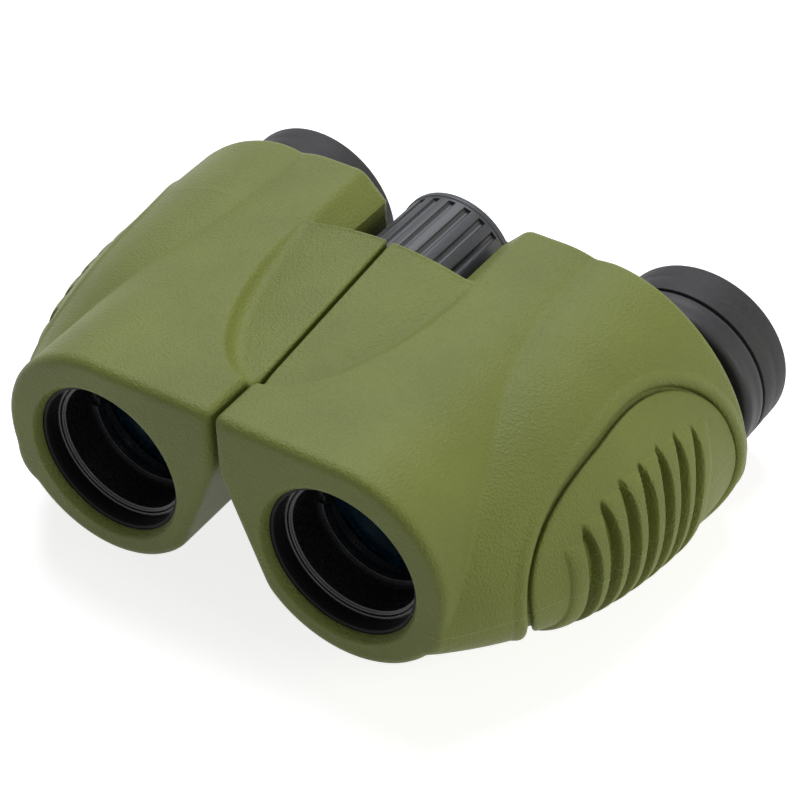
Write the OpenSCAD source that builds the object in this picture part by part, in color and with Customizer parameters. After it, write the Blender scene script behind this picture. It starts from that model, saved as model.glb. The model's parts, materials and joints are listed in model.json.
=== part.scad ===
// Compact reverse-Porro binocular: two prism bodies folding about one
// central hinge, centre focus by a ribbed wheel, bridge and sliding eyepieces.
// Objectives face -Y, eyepieces face +Y, +Z is up, at the widest eye spacing.

/* [Objectives] */
// Distance of each objective axis from the hinge plane
objective_x = 20.8; // [19:0.2:23]
// Radius of the armour mouth at the front face
mouth_r = 13.6; // [13:0.1:14.2]
// Clear radius of the objective tube
clear_r = 10.8; // [10:0.1:11]
// Bore radius of the front ring, where a push-in cap seats
cap_seat_r = 12; // [11.6:0.1:12.2]
// Depth of the lens behind the front face
lens_depth = 12.2; // [10:0.2:15]
// Axial thickness of the objective doublet
doublet_t = 6; // [5:0.2:7]

/* [Eyepieces] */
// Distance of each eyepiece axis from the hinge plane at the widest setting
eyepiece_x = 36.4; // [35:0.2:38]
// Drop of the eyepiece axis below the objective axis
eyepiece_drop = 6; // [4:0.2:7]
// Outer radius of the rubber eyecup
eyecup_r = 14.75; // [14:0.05:15]
// Length of the rubber eyecup
eyecup_l = 7.35; // [6.5:0.05:11]
// Outer radius of the sliding eyepiece tube
tube_r = 10.4; // [10.2:0.1:10.5]
// Wall of the sliding eyepiece tube
tube_wall = 1.2; // [1:0.1:1.5]
// Travel of the right eye lens to each side for the diopter setting
diopter_travel = 0.5; // [0.3:0.05:0.6]

/* [Body] */
// Length of the two prism bodies
body_l = 61; // [60:0.5:63]
// Radius of the round objective tunnel
tunnel_r = 17.6; // [17:0.1:18.2]
// Height of the top deck above the objective axis at the front
deck_h = 18.2; // [17.8:0.1:18.8]
// Rise of the top deck towards the rear
deck_rise = 1; // [0.4:0.1:1.4]
// Outermost point of the prism housing from the hinge plane
bulge_x = 54; // [53:0.5:56]
// Depth of the underside below the objective axis
bulge_drop = 21; // [21:0.1:22]
// Rounding of the outer edges
edge_r = 1.5; // [1.2:0.1:1.8]
// Thickness of the rubber armour
skin = 1.4; // [1.2:0.1:1.6]
// Wall of the moulded housing
wall = 1.8; // [1.6:0.1:2]

/* [Hinge] */
// Height of the hinge axis above the objective axis
hinge_h = 7.4; // [7:0.1:8]
// Total folding angle of the two bodies
fold_angle = 44; // [36:1:46]
// Slit between the two bodies along the top
seam_gap = 1.2; // [1:0.1:1.4]
// Radius of the hinge knuckles
knuckle_r = 6; // [5.6:0.1:6.2]
// Radius of the hollow steel axle
axle_r = 3.2; // [3:0.1:3.4]
// Rear end of the hinge barrel from the front face
barrel_l = 45.4; // [44.6:0.2:46]
// Half width of the leaf-shaped barrel cover
leaf_w = 15.3; // [14.8:0.1:15.8]
// Height of the barrel cover above the objective axis at its rear end
leaf_h = 20.7; // [20.2:0.1:21]

/* [Focusing] */
// Outer radius of the focus wheel
wheel_r = 10.25; // [9.8:0.05:10.6]
// How far the focus wheel stands out behind the bodies
wheel_out = 3.2; // [2.8:0.1:3.4]
// Number of ribs round the wheel
wheel_ribs = 22; // [18:1:26]
// Bridge travel for one turn of the wheel
focus_lead = 4; // [3:0.5:5]
// Travel of the bridge towards the objectives
focus_in = 1.2; // [0.8:0.1:1.4]
// Travel of the bridge away from the objectives
focus_out = 3; // [2:0.1:3.2]
// Width of the bridge arms
arm_w = 6.8; // [6:0.2:7.6]
// Thickness of the bridge arms
arm_t = 2.6; // [2.4:0.1:3]

/* [Prisms] */
// Plane where the two prisms meet, from the front face
shelf_y = 37.5; // [37.2:0.1:37.8]
// Thickness of the prism shelf
shelf_t = 2; // [1.6:0.1:2.4]

/* [Grip] */
// Half length of the oval grip panel, as a share of the body length
grip_share = 0.387; // [0.345:0.001:0.39]
// Half height of the oval grip panel
grip_h = 13.2; // [11:0.2:13.4]
// Width of the groove round the grip panel
grip_gap = 0.7; // [0.5:0.1:1]
// Number of finger grooves
grip_grooves = 7; // [5:1:7]
// Spacing of the finger grooves
groove_pitch = 4.1; // [3.8:0.1:4.3]
// Depth of the finger grooves
groove_d = 0.75; // [0.5:0.05:0.85]

/* [Fits] */
// Radial clearance of a turning or sliding fit
run_fit = 0.05; // [0.03:0.01:0.09]
// Clearance between parts that pass each other
pass_gap = 0.4; // [0.3:0.05:0.6]
// Facets on round parts
facets = 96; // [48:8:120]

/* [Hidden] */

$fn = facets;
lens_facets = 2.5 * facets;
eps = 0.02;
half_seam = seam_gap / 2;
half_fold = fold_angle / 2;

// Frame: the bodies stand on two flats cut under the prism housings
rest_flat = 0.15;
axis_z = bulge_drop - rest_flat;

// Outer form
notch_gap = 0.45;
bulge_start = 1;
bulge_span = body_l - bulge_start;
bulge_nose = 15.5;
nose_angle = -14;
under_angle = -112;
upper_power = 1.82;
lower_power = 2.5;
tunnel_x = objective_x + 0.6;
leaf_front = 10;
leaf_low = 15.9;
leaf_slope = atan((leaf_h - leaf_low) / (barrel_l - leaf_front));
leaf_crown_r = 52;
leaf_cove = 1.3;
recess_x = wheel_r + 4.85;
recess_slope = 3.1;
recess_wall = recess_x - recess_slope;
recess_z = deck_h + deck_rise - recess_slope;
shell = skin + wall;

// Hinge, from the front face
hinge_start = 8;
knuckle_end_l = 8;
knuckle_gap = 0.6;
knuckle_mid_l = 16.4;
hinge_end = hinge_start + 2 * knuckle_end_l + 2 * knuckle_gap + knuckle_mid_l;
pocket_r = knuckle_r + pass_gap;
rod_r = 2.1;
rod_front = hinge_end - 7.6;

// Focus wheel, from the front face
nut_space = 2.2;
wheel_rear = body_l + wheel_out;
wheel_front = barrel_l + nut_space;
wheel_l = wheel_rear - wheel_front;
wheel_rim = 1.4;
rib_gap = 1.3;
dish_depth = 1.8;
nut_t = 2.2;
nut_r = 5.8;
retainer_t = 2;
retainer_r = 5;
axle_end = wheel_rear - dish_depth - nut_t - 0.4;

// Bridge, from the front face
arm_front = body_l + focus_in + pass_gap;
hub_front = wheel_rear + focus_in + pass_gap;
hub_r = 5;
hub_t = arm_t / 2;
arm_tilt = atan((hinge_h + eyepiece_drop) / eyepiece_x);
arm_reach = norm([eyepiece_x, hinge_h + eyepiece_drop]);
collar_r = tube_r + 1.8;
collar_end = arm_front + arm_t;
cap_front = hub_front + 2 * hub_t + 2 * run_fit;

// Eyepiece, from the front face
tube_front = body_l - 6.2;
tube_end = collar_end + 5.2;
cell_flange = tube_end + diopter_travel + 0.15;
cell_r = tube_r - tube_wall - run_fit;
glass_r = cell_r - 1.1;
guide_r = tube_r + 1.2;
trim_front = collar_end + 0.4;
trim_r = eyecup_r;
cup_front = cell_flange;
cup_wall = 1.3;
overall_l = cup_front + eyecup_l;
front_y = -overall_l / 2;
eye_face = cell_flange + 0.8;

// Prisms: two right-angle prisms crossed at 90 degrees
prism_w = norm([eyepiece_x - objective_x, eyepiece_drop]) / sqrt(2);
prism_turn = 45 - atan(eyepiece_drop / (eyepiece_x - objective_x));
prism_seat = 0.6;
mid_x = objective_x + prism_w * cos(prism_turn);
mid_z = prism_w * sin(prism_turn);

// Objective, from the front face
bevel = mouth_r - cap_seat_r - 0.55;
objective_tube_r = cap_seat_r + 0.9;
front_ring_end = 3.9;
objective_tube_end = 23.6;
lens_seat_r = clear_r - 0.9;

// Grip panel, seen along a line tilted down from the side
grip_l = grip_share * body_l;
grip_y = 0.5623 * body_l;
grip_tilt = 20;
grip_lean = 10;
grip_fullness = 2.5;
grip_z = 12.3;
grip_x = 32;
groove_first = grip_y - 12.4;
groove_w = 2.6;
seat_gap = 0.25;

rubber = "#6b7340";
black = "#1c1c1d";
glass = "#3f6f72";

// ---- Helpers ----

// Puts one body in place: side is 1 for the right, -1 for the left
module half(side) translate([0, front_y, axis_z]) mirror([side < 0 ? 1 : 0, 0, 0]) children();

// Turns a piece made along Z into one along Y, on the axis through [x, z]
module about(x, z) translate([x, 0, z]) rotate([-90, 0, 0]) children();
module on_objective(side) half(side) about(objective_x, 0) children();
module on_eyepiece(side) half(side) about(eyepiece_x, -eyepiece_drop) children();
module on_hinge() translate([0, front_y, axis_z]) about(0, hinge_h) children();

module rod(r, from, to) translate([0, 0, from]) cylinder(r = r, h = to - from);
module ring(outer, inner, from, to) difference() {
    rod(outer, from, to);
    rod(inner, from - 1, to + 1);
}
// Revolved piece from [radius, depth] points
module turned(points) rotate_extrude() polygon(points);

// Lens with spherical faces; a negative radius is a hollow face
module lens(r, from, to, front_curve, rear_curve) difference() {
    intersection() {
        rod(r, from, to);
        if (front_curve > 0) translate([0, 0, from + front_curve]) sphere(front_curve, $fn = lens_facets);
        if (rear_curve > 0) translate([0, 0, to - rear_curve]) sphere(rear_curve, $fn = lens_facets);
    }
    if (front_curve < 0) translate([0, 0, from + sag(front_curve, r) + front_curve]) sphere(-front_curve, $fn = lens_facets);
}
function sag(curve, r) = abs(curve) - sqrt(curve * curve - r * r);

// ---- Outer form of one body ----

// How much of the prism housing is still to come at y: 1 at the front, 0 at the rear
function smooth(y, power) = pow(1 - min(1, max(0, (y - bulge_start) / bulge_span)), power);
function deck_z(y) = deck_h + deck_rise * y / body_l;
function bulge_out(y) = bulge_x - bulge_nose * smooth(y, 3.3);

// Prism housing at y: [middle x, middle z, half width, height above, depth below]
function bulge_shape(y, inset) =
    let (
        inner = 6 + 18 * smooth(y, 3),
        top = deck_h + 0.5 - 13 * smooth(y, 2.6),
        low = 10 * smooth(y, 2.5) - bulge_drop,
        mid = 4 * smooth(y, 2) - 8
    )
    [(bulge_out(y) + inner) / 2, mid, (bulge_out(y) - inner) / 2 - inset,
        top - mid - inset, mid - low - inset];

// Below 1 inside the housing's outline, above 1 outside it
function bulge_level(s, x, z) = z > s[1]
    ? pow(abs(x - s[0]) / s[2], upper_power) + pow((z - s[1]) / s[3], upper_power)
    : pow(abs(x - s[0]) / s[2], lower_power) + pow((s[1] - z) / s[4], lower_power);

// Distance from point c at angle a to the far side of the housing, or 0 if it misses
function far_side(s, c, a, near, far, n) = n == 0 ? far
    : let (m = (near + far) / 2)
        bulge_level(s, c[0] + m * cos(a), c[1] + m * sin(a)) < 1
            ? far_side(s, c, a, m, far, n - 1) : far_side(s, c, a, near, m, n - 1);
function bulge_reach(s, c, a) =
    let (near = max(0, (s[0] - c[0]) * cos(a) + (s[1] - c[1]) * sin(a)))
    bulge_level(s, c[0] + near * cos(a), c[1] + near * sin(a)) >= 1 ? 0 : far_side(s, c, a, near, bulge_x + tunnel_r, 18);

// Angle between a and b where the housing's outline crosses the tunnel's circle
function crossing(s, c, r, a, b, n) = n == 0 ? (a + b) / 2
    : let (m = (a + b) / 2)
        bulge_reach(s, c, m) > r ? crossing(s, c, r, m, b, n - 1) : crossing(s, c, r, a, m, n - 1);
// Angle between a and b where the outline meets the flank of the notch
function flank_angle(s, c, r, reach, a, b, n) = n == 0 ? (a + b) / 2
    : let (m = (a + b) / 2)
        max(r, bulge_reach(s, c, m)) * cos(m + 180 - half_fold) < reach
            ? flank_angle(s, c, r, reach, m, b, n - 1) : flank_angle(s, c, r, reach, a, m, n - 1);

// Half width of the leaf-shaped cover over the hinge barrel
function leaf_half(y) = y < leaf_front ? 0
    : leaf_w * sqrt(1 - pow(max(0, barrel_l - y) / (barrel_l - leaf_front), 2));
function leaf_z(x, y) = leaf_low + (leaf_h - leaf_low) * (min(y, barrel_l) - leaf_front) / (barrel_l - leaf_front)
    - x * x / (2 * leaf_crown_r);

// Outline of one body at y, as [x, z] points: notch, leaf cover, deck, tunnel, housing, tunnel
function body_ring(y, inset) =
    let (
        r = tunnel_r - inset,
        c = [tunnel_x, deck_z(y) - tunnel_r],
        s = bulge_shape(y, inset),
        x0 = half_seam + inset,
        top = deck_z(y) - inset,
        soft = max(edge_r - inset / 2, 0.6),
        reach = tunnel_x * cos(half_fold) + (c[1] - hinge_h) * sin(half_fold) - notch_gap - inset,
        out = bulge_reach(s, c, nose_angle) > r,
        last = flank_angle(s, c, r, reach, -90, half_fold - 180, 14),
        upper = out ? crossing(s, c, r, nose_angle, 88, 14) : nose_angle + 15,
        lower = out ? max(last + 5, under_angle, crossing(s, c, r, nose_angle, last, 14)) : nose_angle - 15,
        leaf = leaf_half(y) > 0,
        leaf_x = max(leaf_half(y) + inset, x0 + 0.6),
        polar = function(a) let (q = max(r, bulge_reach(s, c, a))) [c[0] + q * cos(a), c[1] + q * sin(a)]
    )
    concat(
        [[x0, hinge_h + (notch_gap + inset - x0 * cos(half_fold)) / sin(half_fold)]],
        [for (k = [0:5]) leaf
            ? let (x = x0 + (leaf_x - x0) * k / 5) [x, leaf_z(x, y) - inset]
            : [x0 + soft * (1 - cos(18 * k)), top - soft * (1 - sin(18 * k))]],
        [[(leaf ? leaf_x : x0 + soft) + leaf_cove, top]],
        [for (k = [0:7]) polar(90 - (90 - upper) * k / 7)],
        [for (k = [1:16]) polar(upper + (lower - upper) * k / 16)],
        [for (k = [1:6]) polar(lower + (last - lower) * k / 6)]
    );

// Solid through a list of rings, all with the same number of points
module loft(rings, ys) {
    n = len(rings[0]);
    m = len(rings);
    points = concat(
        [for (i = [0:m - 1]) for (p = rings[i]) [p[0], ys[i], p[1]]],
        [for (i = [0, m - 1]) let (c = middle(rings[i])) [c[0], ys[i], c[1]]]);
    sides = [for (i = [0:m - 2]) for (k = [0:n - 1]) each [
        [i * n + k, (i + 1) * n + (k + 1) % n, i * n + (k + 1) % n],
        [i * n + k, (i + 1) * n + k, (i + 1) * n + (k + 1) % n]]];
    front = [for (k = [0:n - 1]) [k, (k + 1) % n, m * n]];
    back = [for (k = [0:n - 1]) [(m - 1) * n + (k + 1) % n, (m - 1) * n + k, m * n + 1]];
    polyhedron(points, concat(sides, front, back), convexity = 6);
}
function middle(points) = [for (i = [0, 1]) [for (p = points) p[i]] * [for (p = points) 1 / len(points)]];

// Stations along Y: [y, extra inset], with a rounded edge at each end
function stations(inset) =
    let (soft = max(edge_r - inset, 0.4), end = body_l - inset)
    concat(
        [for (t = [0, 30, 60, 90]) [inset + soft * (1 - cos(t)), soft * (1 - sin(t))]],
        [for (t = [0.36, 0.75, 1, 1.04]) [leaf_front * t, 0]],
        [for (t = [0.05, 0.1, 0.17, 0.26, 0.36, 0.48, 0.52, 0.57, 0.68, 0.83])
            [leaf_front + (body_l - leaf_front) * t, 0]],
        [for (t = [90, 60, 30, 0]) [end - soft * (1 - cos(t)), soft * (1 - sin(t))]]
    );
module body_loft(inset) {
    st = stations(inset);
    loft([for (s = st) body_ring(s[0], inset + s[1])], [for (s = st) s[0]]);
}
// Finger recess round the wheel, with a slope from its upright walls to the deck
module recess(inset) {
    slope_z = recess_z - inset * (sqrt(2) - 1);
    translate([0, barrel_l - inset + body_l, 0]) rotate([90, 0, 0]) linear_extrude(body_l) polygon([
        [-1, -bulge_drop - 1], [recess_wall + inset, -bulge_drop - 1], [recess_wall + inset, slope_z],
        [recess_wall + inset + 8, slope_z + 8], [-1, slope_z + 8]]);
}
module body_form(inset) difference() {
    body_loft(inset);
    recess(inset);
    translate([0, -1, -bulge_drop - 5 + rest_flat + inset]) cube([bulge_x + 5, body_l + 2, 5]);
}

// ---- One body ----

// Side or height of the full oval round the grip panel
function full(v) = sign(v) * pow(abs(v), 2 / grip_fullness);
module grip_oval(grow) translate([0, grip_y, 0]) rotate([0, grip_tilt, 0])
    translate([grip_x, 0, grip_z]) rotate([90, 0, 90]) linear_extrude(bulge_x)
    rotate(grip_lean) polygon([for (k = [0:71])
        [(grip_l + grow) * full(cos(5 * k)), (grip_h + grow) * full(sin(5 * k))]]);

// Depth of the finger grooves at a point of the grip, deepest in the middle of each groove
function groove_middle(k) = [groove_first + k * groove_pitch, -3.5 - 0.4 * k, 8 + 0.8 * k];
function groove_at(y, z) = max([for (k = [0:grip_grooves - 1]) let (g = groove_middle(k))
    groove_d * max(0, 1 - abs(y - g[0]) / groove_w * 2) * max(0, 1 - pow((z - g[1]) / g[2], 2))]);
function grip_ring(y) =
    let (outer = body_ring(y, 0), inner = body_ring(y, skin - seat_gap))
    concat(
        [for (k = [15:31]) outer[k] - [groove_at(y, outer[k][1]), 0]],
        [for (k = [31:-1:15]) inner[k]]
    );
grip_ys = concat([7.5, 10, 12.5, 15.5],
    [for (k = [0:grip_grooves - 1]) for (w = [-0.5, 0, 0.5]) groove_middle(k)[0] + w * groove_w],
    [for (t = [7, 4, 1.7]) body_l - t]);

module armour(side) color(rubber) half(side) difference() {
    body_form(0);
    body_form(skin);
    about(objective_x, 0) turned([[0, -1], [mouth_r + 1, -1], [mouth_r, 0], [mouth_r - bevel, bevel],
        [mouth_r - bevel, skin + 1], [0, skin + 1]]);
    about(eyepiece_x, -eyepiece_drop) rod(tube_r + 1, body_l - skin - 1, body_l + 1);
    about(0, hinge_h) rod(pocket_r, hinge_start - 1.6, hinge_end + 1);
    about(0, hinge_h) rod(axle_r + pass_gap, hinge_start, barrel_l + 1);
    grip_oval(0);
}

module grip_panel(side) color(rubber) half(side) intersection() {
    loft([for (y = grip_ys) grip_ring(y)], grip_ys);
    grip_oval(-grip_gap);
}

// Ring of points round the prism housing alone
function bulge_ring(y, inset) =
    let (s = bulge_shape(y, inset), steps = 36)
    [for (k = [0:steps - 1])
        let (
            t = -360 * k / steps - 5,
            e = 2 / (sin(t) > 0 ? upper_power : lower_power)
        )
        [s[0] + s[2] * sign(cos(t)) * pow(abs(cos(t)), e),
            s[1] + s[sin(t) > 0 ? 3 : 4] * sign(sin(t)) * pow(abs(sin(t)), e)]];

// Hollow for the prisms, open at the rear
module chamber() difference() {
    ys = [for (t = [0, 0.2, 0.4, 0.7, 1]) objective_tube_end * (1 - t) + (body_l + 1) * t];
    loft([for (y = ys) bulge_ring(y, shell)], ys);
    recess(shell);
}

// Lengths of the hinge barrel that belong to one side: [from, to]
function own_knuckles(side) = side < 0
    ? [[hinge_start, hinge_start + knuckle_end_l], [hinge_end - knuckle_end_l, hinge_end]]
    : [[hinge_start + knuckle_end_l + knuckle_gap, hinge_end - knuckle_end_l - knuckle_gap]];

module housing(side) color(black) half(side) difference() {
    union() {
        difference() {
            body_form(skin);
            chamber();
            about(objective_x, 0) rod(objective_tube_r, -1, barrel_l - shell);
            about(eyepiece_x, -eyepiece_drop) rod(guide_r + seat_gap, tube_front - 2, body_l);
            about(0, hinge_h) for (k = own_knuckles(-side)) rod(pocket_r, k[0] - knuckle_gap, k[1] + knuckle_gap);
            about(0, hinge_h) rod(pocket_r, hinge_start - 1.6, hinge_start);
        }
        about(0, hinge_h) for (k = own_knuckles(side)) rod(knuckle_r, k[0], k[1]);
    }
    about(0, hinge_h) rod(side < 0 ? axle_r : axle_r + run_fit, hinge_start - 1, hinge_end + 1);
    about(0, hinge_h) rod(axle_r + pass_gap, hinge_end, barrel_l + 1);
    translate([objective_x, shelf_y, 0]) rotate([0, -prism_turn, 0])
        translate([-prism_w / 2 - seat_gap, 0, -prism_w / 2 - seat_gap])
        cube([prism_w, shelf_t / 2 + prism_w / 2, prism_w + 2 * seat_gap]);
}

// Plate that closes the chamber and guides the eyepiece tube
module rear_cover(side) color(black) half(side) difference() {
    union() {
        translate([0, body_l - skin - 2, 0]) rotate([90, 0, 0]) mirror([0, 0, 1]) linear_extrude(2)
            polygon(bulge_ring(body_l - skin - 3, shell + seat_gap));
        about(eyepiece_x, -eyepiece_drop) rod(guide_r, tube_front - 1.6, body_l - skin - 1);
    }
    about(eyepiece_x, -eyepiece_drop) rod(tube_r + run_fit, tube_front - 3, body_l);
    recess(shell + run_fit);
}

// ---- Objective ----

module objective_tube(side) color(black) on_objective(side) turned([
    [cap_seat_r - 0.6, front_ring_end], [objective_tube_r - run_fit, front_ring_end],
    [objective_tube_r - run_fit, objective_tube_end], [lens_seat_r, objective_tube_end],
    [lens_seat_r, lens_depth + doublet_t], [clear_r, lens_depth + doublet_t],
    [clear_r, front_ring_end + 0.6], [cap_seat_r - 0.6, front_ring_end + 0.6]]);

module front_ring(side) color(black) on_objective(side) turned([
    [cap_seat_r, skin + 0.05], [objective_tube_r - run_fit, skin + 0.05],
    [objective_tube_r - run_fit, front_ring_end], [cap_seat_r, front_ring_end]]);

module lens_ring(side) color(black) on_objective(side) difference() {
    ring(clear_r - run_fit, clear_r - 1, lens_depth - 1.6, lens_depth);
    for (a = [0, 180]) rotate(a) translate([clear_r - 0.6, 0, lens_depth - 1.6]) cube([2, 1.4, 1.2], center = true);
}

crown_edge = lens_depth + doublet_t * 0.6;
module crown_lens(side) color(glass) on_objective(side)
    lens(clear_r - run_fit, lens_depth, crown_edge + sag(36, clear_r), 44, 36);
module flint_lens(side) color(glass) on_objective(side) difference() {
    rod(clear_r - run_fit, crown_edge - 1, lens_depth + doublet_t);
    translate([0, 0, crown_edge + sag(36, clear_r) - 36]) sphere(36 + eps, $fn = lens_facets);
    rod(clear_r, crown_edge - 2, crown_edge);
}

// ---- Prisms ----

module prism(w, away) translate([-w / 2, 0, -w / 2]) linear_extrude(w)
    polygon([[0, 0], [2 * w, 0], [w, away * w]]);
module at_entry(side) half(side) translate([objective_x, shelf_y + shelf_t / 2 - prism_seat, 0])
    rotate([0, -prism_turn, 0]) children();
module at_exit(side) half(side) translate([mid_x, shelf_y - shelf_t / 2 + prism_seat, mid_z])
    rotate([0, 90 - prism_turn, 0]) children();

module entry_prism(side) color(glass) at_entry(side) prism(prism_w, 1);
module exit_prism(side) color(glass) at_exit(side) prism(prism_w, -1);

// Spring strap that holds a prism on the shelf
module clip(away) {
    t = 0.5;
    w = prism_w;
    reach = t * sqrt(2);
    foot = prism_seat + 0.01;
    translate([0, 0, -1.5]) linear_extrude(3) mirror([0, away < 0 ? 1 : 0, 0]) difference() {
        union() {
            translate([-w / 2, 0]) polygon([[-reach, 0], [2 * w + reach, 0], [w, w + reach]]);
            translate([-w / 2 - 2.2, foot]) square([2 * w + 4.4, t]);
        }
        translate([-w / 2, 0]) polygon([[-eps, 0], [2 * w + eps, 0], [w, w + eps]]);
        translate([-w, -1]) square([3 * w, foot + 1]);
    }
}
module prism_clips(side) color("silver") {
    at_entry(side) clip(1);
    at_exit(side) clip(-1);
}

module prism_shelf(side) color("#3a3a3c") difference() {
    half(side) difference() {
        union() {
            translate([0, shelf_y - shelf_t / 2, 0]) rotate([90, 0, 0]) mirror([0, 0, 1])
                linear_extrude(shelf_t) polygon(bulge_ring(shelf_y - shelf_t / 2 - 1, shell + run_fit));
            about(objective_x, 0)
                rod(objective_tube_r - run_fit, shelf_y - shelf_t / 2 + eps, shelf_y + shelf_t / 2 - eps);
        }
        for (p = [[objective_x, 0], [mid_x, mid_z], [eyepiece_x, -eyepiece_drop]])
            about(p[0], p[1]) rod(prism_w / 2 - 0.6, 0, body_l);
        recess(shell + run_fit);
    }
    at_entry(side) translate([-prism_w / 2 - run_fit, 0, -prism_w / 2 - run_fit])
        cube([2 * prism_w + 2 * run_fit, 3, prism_w + 2 * run_fit]);
    at_exit(side) translate([-prism_w / 2 - run_fit, -3, -prism_w / 2 - run_fit])
        cube([2 * prism_w + 2 * run_fit, 3, prism_w + 2 * run_fit]);
}

// ---- Eyepieces ----

// Arm from the hub on the focus rod to the collar of one eyepiece
module bridge_arm(side) color("#2b2b2d") difference() {
    hub_y = side < 0 ? hub_front : hub_front + hub_t + run_fit;
    bend_in = wheel_r + 1.1;
    bend_out = bend_in + 2.4;
    half(side) translate([0, 0, hinge_h]) rotate([0, arm_tilt, 0]) difference() {
        union() {
            translate([0, 0, -arm_w / 2]) linear_extrude(arm_w) polygon([
                [0, hub_y], [bend_in, hub_y], [bend_out, arm_front], [arm_reach, arm_front],
                [arm_reach, collar_end], [bend_out + 1, collar_end], [bend_in + 1, hub_y + hub_t],
                [0, hub_y + hub_t]]);
            about(0, 0) rod(hub_r, hub_y, hub_y + hub_t);
            about(arm_reach, 0) rod(collar_r, arm_front, collar_end);
        }
        about(0, 0) rod(side < 0 ? rod_r : rod_r + run_fit, hub_y - 1, hub_y + hub_t + 1);
        about(arm_reach, 0) rod(tube_r, arm_front - 1, collar_end + 1);
    }
}

module eyepiece_tube(side) color(black) on_eyepiece(side)
    ring(tube_r, tube_r - tube_wall, tube_front, tube_end);
module field_stop(side) color(black) on_eyepiece(side)
    ring(tube_r - tube_wall, 5.4, tube_front + 1.2, tube_front + 2.2);

// Cell that carries the lenses and the eyecup
module ocular_cell(side) color(black) on_eyepiece(side) turned([
    [glass_r - 0.8, cell_flange - 8.4], [cell_r, cell_flange - 8.4], [cell_r, cell_flange],
    [eyecup_r - cup_wall, cell_flange], [eyecup_r - cup_wall, cell_flange + 3],
    [glass_r + 1.6, eye_face], [glass_r - 0.8, eye_face],
    [glass_r - 0.8, eye_face - 0.6], [glass_r, eye_face - 0.6], [glass_r, cell_flange - 7.6],
    [glass_r - 0.8, cell_flange - 7.6]]);
module field_lens(side) color(glass) on_eyepiece(side)
    lens(glass_r - run_fit, cell_flange - 7.6, cell_flange - 4.4, 30, 24);
module eye_lens(side) color(glass) on_eyepiece(side)
    lens(glass_r - run_fit, eye_face - 4.4, eye_face - 0.6, 20, 34);

module collar_trim(side, grip) color(black) on_eyepiece(side)
    turned([[grip, trim_front], [trim_r - 1, trim_front], [trim_r - 0.4, trim_front + 0.3],
        [trim_r, trim_front + 1.3], [trim_r, tube_end - 1.1], [trim_r - 0.3, tube_end - 0.3],
        [trim_r - 0.6, tube_end], [grip, tube_end]]);
module trim_ring_left() collar_trim(-1, tube_r);
module diopter_ring_right() collar_trim(1, tube_r + run_fit);

module eyecup(side) color(black) on_eyepiece(side) turned([
    [eyecup_r - cup_wall, cup_front], [eyecup_r - 0.3, cup_front], [eyecup_r, cup_front + 0.3],
    [eyecup_r, overall_l - 0.9], [eyecup_r - 0.27, overall_l - 0.25], [eyecup_r - 0.9, overall_l],
    [eyecup_r - 1.5, overall_l - 0.25], [eyecup_r - 1.75, overall_l - 0.9],
    [eyecup_r - 1.9, cell_flange + 3.6], [eyecup_r - cup_wall - 0.9, cell_flange + 3.1],
    [eyecup_r - cup_wall, cell_flange + 3.05]]);

// ---- Hinge and focusing ----

module hinge_axle() color("silver") on_hinge() ring(axle_r, rod_r + run_fit, hinge_start, axle_end);
module hinge_screw() color("silver") on_hinge() difference() {
    union() {
        rod(4.4, hinge_start - 1.2, hinge_start);
        rod(rod_r, hinge_start - 0.1, hinge_start + 5);
    }
    translate([0, 0, hinge_start - 1.2]) cube([10, 0.9, 1.2], center = true);
}
module hinge_washers() color("silver") on_hinge() for (k = own_knuckles(1)[0])
    let (from = k == own_knuckles(1)[0][0] ? k - knuckle_gap + 0.1 : k + 0.1)
    ring(knuckle_r - 0.6, axle_r, from, from + knuckle_gap - 0.2);
module axle_nut() color("silver") on_hinge() ring(5.2, axle_r, barrel_l + 0.3, wheel_front - 0.3);
module wheel_retainer() color("silver") on_hinge()
    ring(retainer_r, axle_r, axle_end - retainer_t, axle_end);

module focus_wheel() color("#222224") on_hinge() difference() {
    turned([
        [axle_r + run_fit, wheel_front], [wheel_r - 0.9, wheel_front], [wheel_r - 0.2, wheel_front + 0.7],
        [wheel_r - 0.2, wheel_rear - wheel_rim], [wheel_r, wheel_rear - wheel_rim + 0.2],
        [wheel_r, wheel_rear - 0.4], [wheel_r - 0.4, wheel_rear], [wheel_r - 2.2, wheel_rear],
        [wheel_r - 2.6, wheel_rear - dish_depth], [nut_r, wheel_rear - dish_depth],
        [nut_r, wheel_rear - dish_depth - nut_t], [retainer_r + pass_gap, wheel_rear - dish_depth - nut_t],
        [retainer_r + pass_gap, axle_end - retainer_t - 0.3], [axle_r + run_fit, axle_end - retainer_t - 0.3]]);
    for (k = [0:wheel_ribs - 1]) rotate((k + 0.5) * 360 / wheel_ribs)
        translate([wheel_r - 0.2, 0, wheel_front - 1])
            cylinder(r = rib_gap / 2, h = wheel_l - wheel_rim + 0.6, $fn = 16);
}
module focus_nut() color("#b8934a") on_hinge()
    ring(nut_r, rod_r + run_fit, wheel_rear - dish_depth - nut_t, wheel_rear - dish_depth);
module focus_rod() color("silver") on_hinge() rod(rod_r, rod_front, cap_front);
module bridge_cap() color("#2b2b2d") on_hinge() turned([
    [0, cap_front], [3.8, cap_front], [3.8, cap_front + 0.5], [3.3, cap_front + 0.9], [0, cap_front + 0.9]]);

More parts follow.
